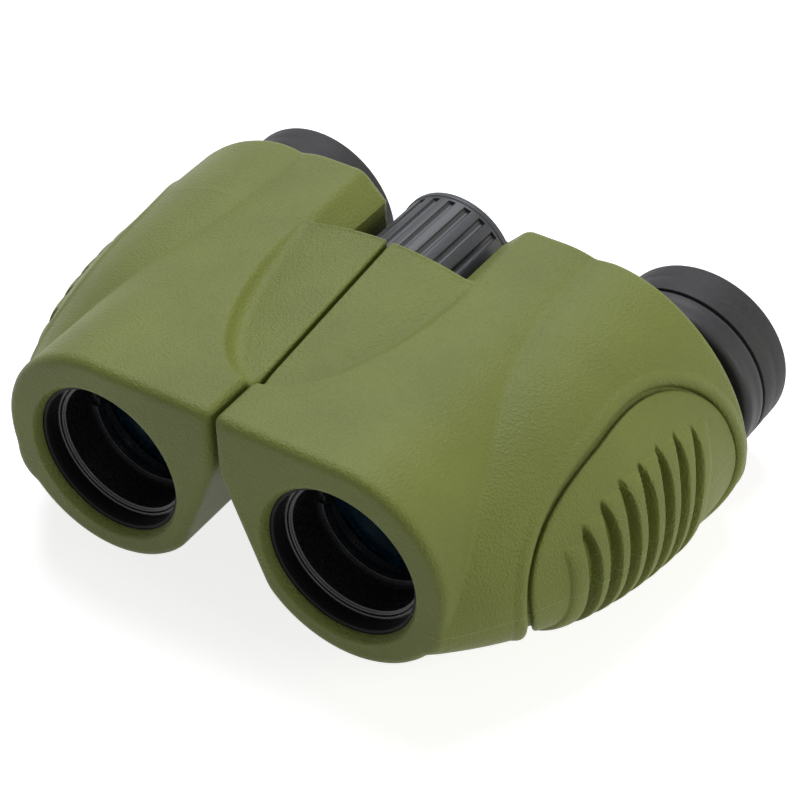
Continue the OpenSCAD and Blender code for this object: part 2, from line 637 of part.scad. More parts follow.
armour(-1);  // armour_left
armour(1);  // armour_right
housing(-1);  // housing_left
housing(1);  // housing_right
grip_panel(-1);  // grip_panel_left
grip_panel(1);  // grip_panel_right
rear_cover(-1);  // rear_cover_left
rear_cover(1);  // rear_cover_right
objective_tube(-1);  // objective_tube_left
objective_tube(1);  // objective_tube_right
front_ring(-1);  // front_ring_left
front_ring(1);  // front_ring_right
lens_ring(-1);  // lens_ring_left
lens_ring(1);  // lens_ring_right
crown_lens(-1);  // crown_lens_left
crown_lens(1);  // crown_lens_right
flint_lens(-1);  // flint_lens_left
flint_lens(1);  // flint_lens_right
prism_shelf(-1);  // prism_shelf_left
prism_shelf(1);  // prism_shelf_right
entry_prism(-1);  // entry_prism_left
entry_prism(1);  // entry_prism_right
exit_prism(-1);  // exit_prism_left
exit_prism(1);  // exit_prism_right
prism_clips(-1);  // prism_clips_left
prism_clips(1);  // prism_clips_right
bridge_arm(-1);  // bridge_arm_left
bridge_arm(1);  // bridge_arm_right
eyepiece_tube(-1);  // eyepiece_tube_left
eyepiece_tube(1);  // eyepiece_tube_right
field_stop(-1);  // field_stop_left
field_stop(1);  // field_stop_right
field_lens(-1);  // field_lens_left
field_lens(1);  // field_lens_right
eye_lens(-1);  // eye_lens_left
eye_lens(1);  // eye_lens_right
ocular_cell(-1);  // ocular_cell_left
ocular_cell(1);  // ocular_cell_right
trim_ring_left();
diopter_ring_right();
eyecup(-1);  // eyecup_left
eyecup(1);  // eyecup_right
hinge_axle();
hinge_screw();
hinge_washers();
axle_nut();
wheel_retainer();
focus_wheel();
focus_nut();
focus_rod();
bridge_cap();
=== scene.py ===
# %% [markdown]
# # A compact folding binocular
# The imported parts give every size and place. This file dresses them: the rubber armour, the grip inlays,
# the eyecups and the collar rings are drawn anew, the focus wheel, the bridge and the black rings get
# rounded edges, and every surface gets its own material. The scene is in metres. Most numbers below are
# millimetres, and MM turns them into metres.

# %% Load the frame
import json
import math

import bpy
import numpy as np
from mathutils import Matrix, Vector

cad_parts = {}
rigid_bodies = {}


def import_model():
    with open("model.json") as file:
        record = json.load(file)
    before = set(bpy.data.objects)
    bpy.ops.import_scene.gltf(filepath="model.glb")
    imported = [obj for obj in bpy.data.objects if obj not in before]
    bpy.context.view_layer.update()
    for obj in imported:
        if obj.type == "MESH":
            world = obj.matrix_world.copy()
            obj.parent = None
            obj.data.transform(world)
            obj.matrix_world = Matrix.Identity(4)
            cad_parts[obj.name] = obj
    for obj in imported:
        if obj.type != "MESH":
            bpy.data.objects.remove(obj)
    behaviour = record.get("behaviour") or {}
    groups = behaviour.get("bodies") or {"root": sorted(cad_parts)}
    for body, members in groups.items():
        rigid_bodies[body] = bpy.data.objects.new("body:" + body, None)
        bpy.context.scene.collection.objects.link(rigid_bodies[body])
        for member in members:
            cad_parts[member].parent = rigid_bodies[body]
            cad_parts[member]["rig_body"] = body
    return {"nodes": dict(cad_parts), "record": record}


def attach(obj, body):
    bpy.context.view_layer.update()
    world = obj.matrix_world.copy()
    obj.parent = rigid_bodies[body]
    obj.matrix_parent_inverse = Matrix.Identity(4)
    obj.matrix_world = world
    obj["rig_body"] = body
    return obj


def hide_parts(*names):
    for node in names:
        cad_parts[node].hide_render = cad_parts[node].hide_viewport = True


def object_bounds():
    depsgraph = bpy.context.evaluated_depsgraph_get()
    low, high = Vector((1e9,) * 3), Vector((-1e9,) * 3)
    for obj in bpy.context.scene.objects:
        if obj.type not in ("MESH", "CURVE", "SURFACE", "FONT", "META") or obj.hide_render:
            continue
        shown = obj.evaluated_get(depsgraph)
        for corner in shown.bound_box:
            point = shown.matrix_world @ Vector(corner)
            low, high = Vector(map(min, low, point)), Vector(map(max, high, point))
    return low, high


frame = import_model()
cad_low, cad_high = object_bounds()
bpy.ops.object.select_all(action="DESELECT")
MM = 0.001
SIDES = {"left": -1, "right": 1}
print("nodes", len(frame["nodes"]), "box mm", [round((b - a) / MM, 1) for a, b in zip(cad_low, cad_high)])

# %% [markdown]
# The camera comes first, so that every later step can be looked at from the same side. A long lens from
# about half a metre keeps the front mouths nearly round, and the view looks down on the deck.

# %% Camera
SENSOR_W, FOCAL_L = 36, 120.56
CAMERA_PLACE = Vector((0.18573, -0.25985, 0.27576))
AZIMUTH, ELEVATION, ROLL = math.radians(34.79), math.radians(39.26), math.radians(-1.71)
camera_data = bpy.data.cameras.new("camera")
camera_data.sensor_width = SENSOR_W
camera_data.lens = FOCAL_L
camera_data.clip_start = 0.01
camera = bpy.data.objects.new("camera", camera_data)
bpy.context.scene.collection.objects.link(camera)
back_flat = math.cos(ELEVATION)
back = Vector((math.sin(AZIMUTH) * back_flat, -math.cos(AZIMUTH) * back_flat, math.sin(ELEVATION)))
level = Vector((math.cos(AZIMUTH), math.sin(AZIMUTH), 0))
upright = back.cross(level)
right = level * math.cos(ROLL) + upright * math.sin(ROLL)
up = upright * math.cos(ROLL) - level * math.sin(ROLL)
turn = Matrix((right, up, back)).transposed().to_4x4()
camera.matrix_world = Matrix.Translation(CAMERA_PLACE) @ turn
bpy.context.scene.camera = camera
print("camera looks from", [round(v, 3) for v in CAMERA_PLACE])

# %% [markdown]
# The form of one body is a stack of outlines along Y, the way such a shell is drawn: a round tunnel for
# the objective, a swelling housing for the prisms, a flat deck, and a notch where the bodies fold.
# These are the sizes that the outlines start from. Lengths run back from the front face, and heights
# are measured from the level of the objective's axis.

# %% Sizes of the body
FRONT_Y = cad_low.y / MM
AXIS_Z = 20.85
BODY_L, BARREL_L = 61.0, 45.4
HINGE_H, HALF_FOLD, NOTCH_GAP = 7.4, math.radians(22), 0.45
OBJECTIVE_X = 20.8
TUNNEL_X, TUNNEL_R = 21.4, 17.6
EYEPIECE, EYE_HOLE_R = np.array([36.4, -6.0]), 11.4
RECESS_WALL, RECESS_TOP = 10.75, 14.85
SEAM_HALF = 0.34
SKIN = 1.4
LEAF_FRONT, LEAF_W, LEAF_LOW, LEAF_H, CROWN_R = 10.0, 15.3, 15.9, 20.7, 52.0
print("front face at", round(FRONT_Y, 2), "mm")


# %% [markdown]
# Each curve of the form is a short formula. A power law lets the housing swell quickly behind the front
# face and settle towards the rear, and a superellipse gives its full, rounded section. Each side of the
# housing has the place where it settles, its change at the front, and the power with which that fades.

# %% Curves of the form
FADE_START, FADE_L = 1, 60
DECK_H = 18.2
HOUSING = {
    "outer": (54, -15.5, 3.3),
    "inner": (6, 18, 3),
    "top": (18.7, -13, 2.6),
    "low": (-21, 10, 2.5),
    "middle": (-8, 4, 2),
}
UPPER_POWER, LOWER_POWER = 1.82, 2.5
FAR_OUT, HALVINGS = 75.0, 26


def deck_z(y):
    return DECK_H + y / BODY_L


def housing_side(name, y):
    settled, change, power = HOUSING[name]
    return settled + change * (1 - np.clip((y - FADE_START) / FADE_L, 0, 1)) ** power


def housing_shape(y, inset):
    """Centre (x, z) of the housing's section, its half width, and its reach up and down."""
    outer, inner, top, low, middle = (housing_side(name, y) for name in HOUSING)
    half = (outer - inner) / 2 - inset
    return (outer + inner) / 2, middle, half, top - middle - inset, middle - low - inset


def housing_level(shape, x, z):
    """Below 1 inside the housing's section and above 1 outside it."""
    dx = np.abs(x - shape[0]) / shape[2]
    dz = z - shape[1]
    upper = dx ** UPPER_POWER + (np.maximum(dz, 0) / shape[3]) ** UPPER_POWER
    lower = dx ** LOWER_POWER + (np.maximum(-dz, 0) / shape[4]) ** LOWER_POWER
    return np.where(dz > 0, upper, lower)


def housing_reach(shape, c, angles):
    """Distance from c to the far side of the housing along each angle, 0 where it is missed."""
    cos, sin = np.cos(angles), np.sin(angles)
    near = np.maximum(0, (shape[0] - c[0]) * cos + (shape[1] - c[1]) * sin)
    missed = housing_level(shape, c[0] + near * cos, c[1] + near * sin) >= 1
    a, b = near.copy(), np.full_like(near, FAR_OUT)
    for _ in range(HALVINGS):
        m = (a + b) / 2
        inside = housing_level(shape, c[0] + m * cos, c[1] + m * sin) < 1
        a, b = np.where(inside, m, a), np.where(inside, b, m)
    return np.where(missed, 0, a)


def blend_max(a, b, width):
    """The larger of two distances, with the crease between them filled."""
    h = np.maximum(width - np.abs(a - b), 0) / width
    return np.maximum(a, b) + h * h * width / 4


def ease(low, high, value):
    t = np.clip((value - low) / (high - low), 0, 1)
    return t * t * (3 - 2 * t)


print("housing mm wide, front and rear:", [round(float(2 * housing_shape(y, 0)[2]), 1) for y in (0, BODY_L)])


# %% [markdown]
# The deck carries the leaf-shaped cover of the hinge barrel: lower than the deck at its front tip and
# higher at its rear end, crowned across, with a soft cove all round. The same height function gives the
# rounded edge along the slit between the bodies, fuller ahead of the leaf than beside it.

# %% Height of the top
COVE_OUT, COVE_W, COVE_POWER, COVE_SOFT = 0.35, 3.5, 3.1, 0.004
SLIT_R, SLIT_R_DROP, SLIT_DROP_FROM, SLIT_DROP_TO = 1.4, 0.9, 9, 15
TINY = 1e-9


def leaf_distance(x, y):
    """Millimetres outside (+) or inside (-) the leaf's outline."""
    length = BARREL_L - LEAF_FRONT
    u, v = x / LEAF_W, np.minimum(y - BARREL_L, 0) / length
    f = np.sqrt(u * u + v * v) + TINY
    slope = np.sqrt((u / LEAF_W) ** 2 + (v / length) ** 2) / f + TINY
    return (f - 1) / slope


def top_z(x, y, inset):
    leaf = LEAF_LOW + (LEAF_H - LEAF_LOW) * (np.minimum(y, BARREL_L) - LEAF_FRONT) / (BARREL_L - LEAF_FRONT)
    leaf = leaf - x * x / (2 * CROWN_R)
    into = (COVE_OUT - leaf_distance(x, y)) / COVE_W
    into = np.clip((into + np.sqrt(into * into + COVE_SOFT)) / 2, 0, 1)
    share = 1 - (1 - into) ** COVE_POWER
    height = deck_z(y) * (1 - share) + leaf * share - inset
    soft = SLIT_R - SLIT_R_DROP * ease(SLIT_DROP_FROM, SLIT_DROP_TO, y)
    edge = np.clip(soft - (x - SEAM_HALF - inset), 0, soft)
    return height - (soft - np.sqrt(np.maximum(soft * soft - edge * edge, 0)))


print("leaf mm above the deck at its rear:", round(float(top_z(4.0, BARREL_L, 0) - deck_z(BARREL_L)), 2))


# %% [markdown]
# One outline runs round the body: up the inner face, over the deck, round the outer flank, under the
# housing and back up the notch. Where the tunnel and the housing meet, the crease is filled by a
# small blend, as a moulded rubber skin has it.

# %% One outline of the body
WALL_N, DECK_N, CREST_N, FLANK_N, UNDER_N, NOTCH_N = 12, 84, 44, 168, 30, 26
RING_N = WALL_N + DECK_N + CREST_N + FLANK_N + UNDER_N + NOTCH_N
CREASE = 0.3
DECK_CROWDING = 1.35
CREST_FROM, FLANK_FROM, FLANK_TO = math.radians(90), math.radians(40), math.radians(-95)
NOTCH_TESTS = np.radians(np.linspace(-90, -158, 400))
CORNER_N, CORNER_PASSES = 6, 3


def outline(y, inset=0.0):
    """Ring of points (x, z) at station y, moved in by inset."""
    c = (TUNNEL_X, deck_z(y) - TUNNEL_R)
    shape = housing_shape(y, inset)
    x0 = SEAM_HALF + inset
    reach = TUNNEL_X * math.cos(HALF_FOLD) + (c[1] - HINGE_H) * math.sin(HALF_FOLD) - NOTCH_GAP - inset

    def radius(a):
        return blend_max(TUNNEL_R - inset, housing_reach(shape, c, a), CREASE)

    over = radius(NOTCH_TESTS) * np.cos(NOTCH_TESTS + math.pi - HALF_FOLD) - reach
    last = NOTCH_TESTS[np.argmax(over >= 0)] if (over >= 0).any() else NOTCH_TESTS[-1]
    notch_z = HINGE_H + (NOTCH_GAP + inset - x0 * math.cos(HALF_FOLD)) / math.sin(HALF_FOLD)
    x = x0 + (TUNNEL_X - x0) * np.linspace(0, 1, DECK_N) ** DECK_CROWDING
    deck = np.column_stack([x, top_z(x, y, inset)])
    wall = np.column_stack([np.full(WALL_N, x0), np.linspace(notch_z, deck[0, 1], WALL_N + 1)[:-1]])
    runs = ((CREST_FROM, FLANK_FROM, CREST_N), (FLANK_FROM, FLANK_TO, FLANK_N), (FLANK_TO, last, UNDER_N))
    angles = np.concatenate([np.linspace(start, end, n + 1)[1:] for start, end, n in runs])
    q = radius(angles)
    flank = np.column_stack([c[0] + q * np.cos(angles), c[1] + q * np.sin(angles)])
    t = np.linspace(0, 1, NOTCH_N + 1)[1:, None]
    notch = flank[-1] * (1 - t) + np.array([x0, notch_z]) * t
    return np.vstack([wall, deck, flank, notch])


def soften_corners(ring):
    """Rounds the two ends of the notch by averaging neighbours."""
    out = ring.copy()
    weight = np.zeros(RING_N)
    weight[-NOTCH_N - CORNER_N:-NOTCH_N + CORNER_N] = 1
    weight[-CORNER_N + 1:] = 1
    weight[:CORNER_N - 2] = 1
    for _ in range(CORNER_PASSES):
        mean = (np.roll(out, 1, 0) + out + np.roll(out, -1, 0)) / 3
        out = out + (mean - out) * weight[:, None]
    return out


print("points round one outline:", RING_N)


# %% [markdown]
# The rows of the skin run like a sock: from the hole for the eyepiece over the rear face, forward along
# the outside, over the front face into the mouth, and back along the inside. Behind the hinge barrel
# each outline is clipped, which leaves the finger recess for the wheel.

# %% Rows of the skin
EDGE_R, BARREL_EDGE_R = 1.5, 0.7
KNEE_SOFT, KNEE_SHIFT = 0.9, 0.41
BEHIND_N, AHEAD_N = 44, 126
MOUTH_EDGE = [(0.0, 13.5), (0.1, 13.3), (0.35, 13.15), (1.0, 12.65), (SKIN, 12.6)]
MOUTH_EDGE_R = 13.6


def clipped(ring, y, inset):
    """Cuts an outline back to the finger recess: an upright wall, then a slope up to the deck."""
    out = ring.copy()
    foot, knee, plain = RECESS_WALL + inset, RECESS_TOP - KNEE_SHIFT * inset, deck_z(y) - inset
    rim = foot + plain - knee
    wall, deck = slice(0, WALL_N), slice(WALL_N, WALL_N + DECK_N)
    low, high = ring[0, 1], ring[WALL_N, 1]
    out[wall, 1] = low + (ring[wall, 1] - low) * (knee - low) / (high - low)
    x = ring[deck, 0]
    share = np.clip((x - x[0]) / (rim - x[0]), 0, 1)
    out[deck, 0] = np.where(x < rim, foot + share * (rim - foot), x)
    climb = knee + out[deck, 0] - foot
    flat = ease(0, 3, y - BARREL_L)
    top = top_z(out[deck, 0], y, inset) * (1 - flat) + plain * flat
    top = np.where(out[deck, 0] < rim - 1, plain, top)
    h = np.maximum(KNEE_SOFT - np.abs(climb - top), 0) / KNEE_SOFT
    out[deck, 1] = np.minimum(climb, top) - h * h * KNEE_SOFT / 4
    out[:, 0] = np.maximum(out[:, 0], foot)
    return out


def row(y, inset=0.0):
    """Outline at station y, clipped behind the barrel and cut flat where the body stands on a table."""
    ring = soften_corners(outline(y, inset))
    if y > BARREL_L - inset - 1e-6:
        ring = clipped(ring, y, inset)
    ring[:, 1] = np.maximum(ring[:, 1], inset - AXIS_Z)
    return ring


def towards(ring, centre, r, t):
    """Ring between a circle round centre (t = 0) and the given ring (t = 1)."""
    away = ring - centre
    circle = centre + r * away / np.linalg.norm(away, axis=1)[:, None]
    return circle * (1 - t) + ring * t


def end_stations():
    """Depth and inset of the rows that round an end face's edge."""
    turns = np.radians([0, 18, 36, 54, 72, 90])
    return [(EDGE_R * (1 - math.cos(a)), EDGE_R * (1 - math.sin(a))) for a in turns]


def barrel_end_rows():
    """Rows that close the hinge barrel's rear end behind the wheel and round its edge."""
    barrel = soften_corners(outline(BARREL_L - 1e-4))
    end = row(BARREL_L)
    free = ease(0.1, 1.6, np.linalg.norm(end - barrel, axis=1))[:, None]
    along = np.roll(barrel, -1, 0) - np.roll(barrel, 1, 0)
    inward = np.column_stack([along[:, 1], -along[:, 0]]) / np.linalg.norm(along, axis=1)[:, None]
    lip = barrel + BARREL_EDGE_R * free * inward
    rows = [(BARREL_L, end * (1 - t) + lip * t) for t in (0.05, 0.5, 0.95)]
    for a in np.radians([0, 22, 45, 68, 90]):
        y = BARREL_L - BARREL_EDGE_R * (1 - math.cos(a))
        rows.append((y, barrel * math.sin(a) + lip * (1 - math.sin(a))))
    return rows


def skin_rows():
    rear = row(BODY_L, EDGE_R)
    rows = [(BODY_L, towards(rear, EYEPIECE, EYE_HOLE_R, t)) for t in (0, 0.02, 0.2, 0.45, 0.7, 0.88)]
    rows += [(BODY_L - depth, row(BODY_L - depth, inset)) for depth, inset in end_stations()]
    rows += [(y, row(y)) for y in np.linspace(BODY_L - EDGE_R, BARREL_L, BEHIND_N)[1:]]
    rows += barrel_end_rows()
    rows += [(y, row(y)) for y in np.linspace(BARREL_L - 0.95, EDGE_R, AHEAD_N)]
    rows += [(depth, row(depth, inset)) for depth, inset in reversed(end_stations()[:-1])]
    face = row(0.0, EDGE_R)
    mouth = np.array([OBJECTIVE_X, 0.0])
    rows += [(0.0, towards(face, mouth, MOUTH_EDGE_R, t)) for t in (0.85, 0.6, 0.3, 0.06)]
    rows += [(depth, towards(face, mouth, r, 0)) for depth, r in MOUTH_EDGE]
    inner = [SKIN + 0.02, 3, 8, 16, 26, 36, BARREL_L - SKIN - 0.1]
    rows += [(y, soften_corners(outline(y, SKIN))) for y in inner]
    rows += [(y, row(y, SKIN)) for y in [BARREL_L - SKIN, 50, 55, BODY_L - SKIN]]
    rows.append((BODY_L - SKIN, towards(row(BODY_L - SKIN, SKIN), EYEPIECE, EYE_HOLE_R, 0)))
    return rows


rows = skin_rows()
print("rows of the skin:", len(rows))

# %% [markdown]
# The oval grip inlay sits in a pocket of the flank. Its outline is a full oval, a superellipse that leans a
# little, seen along a line that tilts down from the side. The skin is sunk there, and a strip laid over
# the cut later gives the pocket its clean, rounded rim.

# %% The grip oval and its pocket
GRIP_TILT, GRIP_LEAN = math.radians(20), math.radians(10)
LEAN_COS, LEAN_SIN = math.cos(GRIP_LEAN), math.sin(GRIP_LEAN)
GRIP_Y, GRIP_W, GRIP_L, GRIP_H, FULLNESS = 34.3, 12.3, 23.6, 13.2, 2.5
OUT = np.array([math.cos(GRIP_TILT), 0, -math.sin(GRIP_TILT)])
RISE = np.array([math.sin(GRIP_TILT), 0, math.cos(GRIP_TILT)])
POCKET_DEPTH, POCKET_EDGE = 1.25, 0.75
FLANK_SIDE, FLANK_FACING = 28, 0.05
STEEPEST = 0.03


def oval(theta, rho=1.0, grow=0.0):
    """Points of the oval as (y, w): w is the height along RISE."""
    c, s = np.cos(theta), np.sin(theta)
    a = rho * (GRIP_L + grow) * np.sign(c) * np.abs(c) ** (2 / FULLNESS)
    b = rho * (GRIP_H + grow) * np.sign(s) * np.abs(s) ** (2 / FULLNESS)
    return GRIP_Y + a * LEAN_COS - b * LEAN_SIN, GRIP_W + a * LEAN_SIN + b * LEAN_COS


def grip_distance(points, normals):
    """Millimetres outside the oval, measured along the skin."""
    dy, dw = points[:, 1] - GRIP_Y, points @ RISE - GRIP_W
    a, b = dy * LEAN_COS + dw * LEAN_SIN, dw * LEAN_COS - dy * LEAN_SIN
    f = ((np.abs(a) / GRIP_L) ** FULLNESS + (np.abs(b) / GRIP_H) ** FULLNESS) ** (1 / FULLNESS) + TINY
    ga = np.sign(a) * (np.abs(a) / GRIP_L) ** (FULLNESS - 1) / GRIP_L
    gb = np.sign(b) * (np.abs(b) / GRIP_H) ** (FULLNESS - 1) / GRIP_H
    slope = np.hypot(ga, gb) + 1e-12
    gy, gw = (ga * LEAN_COS - gb * LEAN_SIN) / slope, (ga * LEAN_SIN + gb * LEAN_COS) / slope
    steep = gy * normals[:, 1] + gw * (normals @ RISE)
    seen = (f - 1) / (slope * f ** (1 - FULLNESS))
    return seen / np.sqrt(np.maximum(1 - steep * steep, STEEPEST))


def sink_pocket(points, normals):
    outside = (points @ OUT > FLANK_SIDE) & (normals @ OUT > FLANK_FACING)
    inside = outside & (grip_distance(points, normals) < POCKET_EDGE)
    return points - normals * np.where(inside, POCKET_DEPTH, 0)[:, None]


def grid_normals(p, stride=5):
    """Normals of a closed grid of points, taken over several rows because some rows coincide."""
    du = np.roll(p, -1, 1) - np.roll(p, 1, 1)
    dv = np.roll(p, -stride, 0) - np.roll(p, stride, 0)
    n = np.cross(du, dv)
    return n / (np.linalg.norm(n, axis=2, keepdims=True) + 1e-12)


print("grip oval mm:", 2 * GRIP_L, "by", 2 * GRIP_H)

# %% [markdown]
# A plane grid is added with as many cells as the skin has rows and points, and its vertices are moved to
# their places. The two ends of every row meet, so they are merged, and the left body is the mirror image.
# One cell of the flank tells which way the normals have to face.

# %% From rows to a mesh
FLANK_CELL = (20, 200)


def to_frame(points, side):
    return (points * [side, 1, 1] + [0, FRONT_Y, AXIS_Z]) * MM


def closed_grid(name, p, side):
    """Mesh of a grid of points that closes on itself both ways."""
    bpy.ops.object.select_all(action="DESELECT")
    across, along = p.shape[1], p.shape[0]
    bpy.ops.mesh.primitive_grid_add(x_subdivisions=across, y_subdivisions=along, size=1, location=(0, 0, 0))
    piece = bpy.context.object
    piece.name = name
    wrapped = np.vstack([p, p[:1]])
    wrapped = np.hstack([wrapped, wrapped[:, :1]]).reshape(-1, 3)
    piece.data.vertices.foreach_set("co", to_frame(wrapped, side).astype(np.float32).ravel())
    bpy.ops.object.mode_set(mode="EDIT")
    bpy.ops.mesh.select_all(action="SELECT")
    bpy.ops.mesh.remove_doubles(threshold=1e-7)
    bpy.ops.mesh.normals_make_consistent(inside=False)
    bpy.ops.object.mode_set(mode="OBJECT")
    bpy.ops.object.shade_smooth_by_angle(angle=math.radians(38))
    piece.select_set(False)
    return piece


grid = np.array([np.column_stack([ring[:, 0], np.full(RING_N, y), ring[:, 1]]) for y, ring in rows])
normals = grid_normals(grid)
normals = normals * np.sign(normals[FLANK_CELL] @ OUT)
sunk = sink_pocket(grid.reshape(-1, 3), normals.reshape(-1, 3)).reshape(grid.shape)
armour = {name: closed_grid("armour_skin_" + name, sunk, side) for name, side in SIDES.items()}
for name, piece in armour.items():
    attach(piece, name + "_half")
    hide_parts("armour_" + name)
    print(piece.name, len(piece.data.polygons), "faces")

# %% [markdown]
# The strip and the inlay are laid on the flank itself. A table of the flank's reach, station by station
# and angle by angle, gives any point of it and the direction that it faces.

# %% The flank as a table
STATION_STEP = 0.5
STATIONS = np.arange(4.0, 60.6, STATION_STEP)
ANGLES = np.radians(np.linspace(86, -86, 431))
TABLE_CELL = (60, 200)


def flank_table():
    table = []
    for y in STATIONS:
        middle = deck_z(y) - TUNNEL_R
        reach = housing_reach(housing_shape(y, 0.0), (TUNNEL_X, middle), ANGLES)
        q = blend_max(TUNNEL_R, reach, CREASE)
        x, z = TUNNEL_X + q * np.cos(ANGLES), middle + q * np.sin(ANGLES)
        table.append(np.column_stack([x, np.full_like(q, y), z]))
    return np.array(table)


FLANK = flank_table()
FACING = np.cross(np.gradient(FLANK, axis=0), np.gradient(FLANK, axis=1))
FACING /= np.linalg.norm(FACING, axis=2, keepdims=True)
FACING *= np.sign(FACING[TABLE_CELL] @ OUT)
LEVELS = np.linspace(-8, 30, 400)
HEIGHTS = FLANK @ RISE
TURNS = np.array([np.interp(LEVELS, h[h.argmax():][::-1], ANGLES[h.argmax():][::-1]) for h in HEIGHTS])
print("flank table", FLANK.shape)


def looked_up(table, rows_at, columns_at):
    """Values between the entries of a table."""
    i = np.clip(rows_at, 0, table.shape[0] - 1.001).astype(int)
    j = np.clip(columns_at, 0, table.shape[1] - 1.001).astype(int)
    a, b = rows_at - i, columns_at - j
    if table.ndim == 3:
        a, b = a[:, None], b[:, None]
    here = table[i, j] * (1 - a) + table[i + 1, j] * a
    beside = table[i, j + 1] * (1 - a) + table[i + 1, j + 1] * a
    return here * (1 - b) + beside * b


def place_in(values, wanted):
    """Fractional index at which evenly spaced values reach what is wanted."""
    return np.clip((wanted - values[0]) / (values[1] - values[0]), 0, len(values) - 1.001)


def on_flank(y, angle):
    """Point of the flank and the way it faces, at station y and an angle round the tunnel."""
    i, j = place_in(STATIONS, y), place_in(ANGLES, angle)
    face = looked_up(FACING, i, j)
    return looked_up(FLANK, i, j), face / np.linalg.norm(face, axis=1, keepdims=True)


def flank_at(y, w):
    """Point of the flank and the way it faces, where an oval's point (y, w) falls on it."""
    return on_flank(y, looked_up(TURNS, place_in(STATIONS, y), place_in(LEVELS, w)))


def pulled_to_flank(p):
    middle = deck_z(p[:, 1]) - TUNNEL_R
    return on_flank(p[:, 1], np.arctan2(p[:, 2] - middle, p[:, 0] - TUNNEL_X))


# %% [markdown]
# The rim of the pocket is a rounded lip of rubber, a section swept once round the oval. It stands a
# quarter of a millimetre proud, falls steeply into the narrow groove round the inlay, and tucks under
# the skin. Each point of the section is a distance out from the oval and a height above the flank.

# %% The rim strip
SPOKES = 480
THETA = np.linspace(0, 2 * math.pi, SPOKES, endpoint=False)
LIP_TOP = [(2.4, -0.1), (1.9, 0.02), (1.45, 0.13), (1.05, 0.24), (0.65, 0.27), (0.25, 0.19), (-0.05, 0.0)]
LIP_WALL = [(-0.22, -0.24), (-0.3, -0.5), (-0.34, -0.85), (-0.34, -1.24)]
LIP_UNDER = [(0.5, -1.24), (1.2, -1.2), (1.9, -0.7)]
edge_points, edge_facing = flank_at(*oval(THETA))
run = np.roll(edge_points, -1, 0) - np.roll(edge_points, 1, 0)
away = np.cross(run, edge_facing)
away /= np.linalg.norm(away, axis=1, keepdims=True)
away *= np.sign(np.einsum("ij,ij->i", away, edge_points - edge_points.mean(0)))[:, None]


def swept(section):
    lines = []
    for distance, height in section:
        p, face = pulled_to_flank(edge_points + distance * away)
        lines.append(p + height * face)
    return np.array(lines)


rim_grid = swept(LIP_TOP + LIP_WALL + LIP_UNDER)
rims = {name: closed_grid("pocket_rim_" + name, rim_grid, side) for name, side in SIDES.items()}
for name, piece in rims.items():
    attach(piece, name + "_half")
    print(piece.name, len(piece.data.polygons), "faces")

# %% [markdown]
# The inlay is a disc of points laid on the flank, slightly dished, with a rounded edge. Seven grooves with
# pointed tops lean and fan out towards the rear, and full ribs between them give the fingers hold. The
# gap round the inlay widens at its front end.

# %% The grip inlay
GROOVE_TOPS = [19.6, 21.2, 22.2, 22.5, 22.8, 22.7, 21.8]
GROOVE_ENDS = [1.0, 0.4, 0.1, 0.1, 0.3, 0.7, 1.2]
GROOVE_NUMBERS = np.arange(7)
FIRST_GROOVE, GROOVE_PITCH, GROOVE_LEAN, GROOVE_FAN, GROOVE_PIVOT = 20.5, 3.45, 0.148, 0.0556, 7
GROOVE_TIP, GROOVE_SWELL = 0.12, 1.16
GROOVE_TOP_RUN, GROOVE_END_RUN = 5.0, 2.0
GROOVE_DEPTH, RIB_RISE = 1.15, 0.65
RIB_HALF, RIB_TOP_RUN, RIB_END_RUN, RIB_BELOW_TIP, FIRST_RIB_DROP = 1.9, 3.5, 2.5, 0.5, 1.2
GAPS = 0.5 + 0.8 * np.maximum(0, -np.cos(THETA - 0.4)) ** 3
INLAY_ROWS, INLAY_CROWDING, INLAY_EDGE_R = 120, 1.1, 0.4
DISH, DISH_RUN = 0.28, 4.5
INLAY_BACK, INLAY_BACK_ROWS = 1.2, 7


def groove_middle(k, w):
    return FIRST_GROOVE + GROOVE_PITCH * k + (GROOVE_LEAN + GROOVE_FAN * k) * (w - GROOVE_PIVOT)


def groove_depth(y, w):
    """How far the fingers' side lies below the flank: grooves with pointed tops between raised ribs."""
    depth, rise = np.zeros_like(y), np.zeros_like(y)
    for k, top, end in zip(GROOVE_NUMBERS, GROOVE_TOPS, GROOVE_ENDS):
        reach = np.clip(np.minimum((top - w) / GROOVE_TOP_RUN, (w - end) / GROOVE_END_RUN), 0, 1)
        half = GROOVE_TIP + GROOVE_SWELL * (1 - (1 - reach) ** 2)
        across = np.abs(y - groove_middle(k, w)) / half
        cut = (GROOVE_DEPTH + RIB_RISE) * np.minimum(reach * 2.5, 1)
        depth = np.maximum(depth, cut * (1 - ease(0.42, 1.0, across)))
    for k in np.arange(-0.5, 7):
        top = np.interp(k, GROOVE_NUMBERS, GROOVE_TOPS) - FIRST_RIB_DROP * (k < 0) - RIB_BELOW_TIP
        end = np.interp(k, GROOVE_NUMBERS, GROOVE_ENDS)
        reach = np.clip(np.minimum((top - w) / RIB_TOP_RUN, (w - end) / RIB_END_RUN), 0, 1)
        across = np.clip(np.abs(y - groove_middle(k, w)) / RIB_HALF, 0, 1)
        rise = np.maximum(rise, RIB_RISE * np.sqrt(reach * (2 - reach)) * np.sqrt(1 - across ** 2.5))
    return depth - rise


